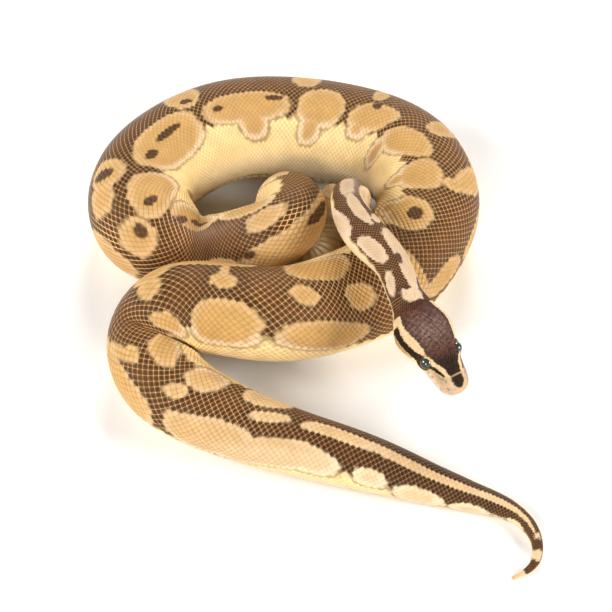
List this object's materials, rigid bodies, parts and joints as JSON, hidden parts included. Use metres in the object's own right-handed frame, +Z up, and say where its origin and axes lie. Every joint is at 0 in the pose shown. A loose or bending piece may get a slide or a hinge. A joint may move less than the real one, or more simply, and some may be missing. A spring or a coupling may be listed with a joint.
{
  "type": "coiled ball python",
  "caption": "Life-size still ball python lying in a loose coil on the floor, its neck and head resting over the coil and its tail laid out in front.",
  "frame": {"origin": "on the floor under the middle of the resting animal's bounding box", "axes": "+Z up, +Y from the tail towards the back of the coil, +X towards the side that the head leans to"},
  "size_m": [0.2352, 0.29, 0.076],
  "materials": {
    "body_scales": "smooth scaled skin with a soft satin shine",
    "head_scales": "fine scaled skin with a soft satin shine",
    "eye_surface": "wet, clear and glossy"
  },
  "bodies": {
    "root": {"head": "head_scales", "lower_jaw": "head_scales", "eye_left": "eye_surface", "eye_right": "eye_surface", "neck": "body_scales", "neck_fold": "body_scales", "trunk_01": "body_scales", "trunk_02": "body_scales", "trunk_03": "body_scales", "trunk_04": "body_scales", "trunk_05": "body_scales", "trunk_06": "body_scales", "trunk_07": "body_scales", "trunk_08": "body_scales", "trunk_09": "body_scales", "trunk_10": "body_scales", "trunk_11": "body_scales", "trunk_12": "body_scales", "trunk_13": "body_scales", "trunk_14": "body_scales", "tail_base": "body_scales", "tail_tip": "body_scales"}
  },
  "joints": []
}
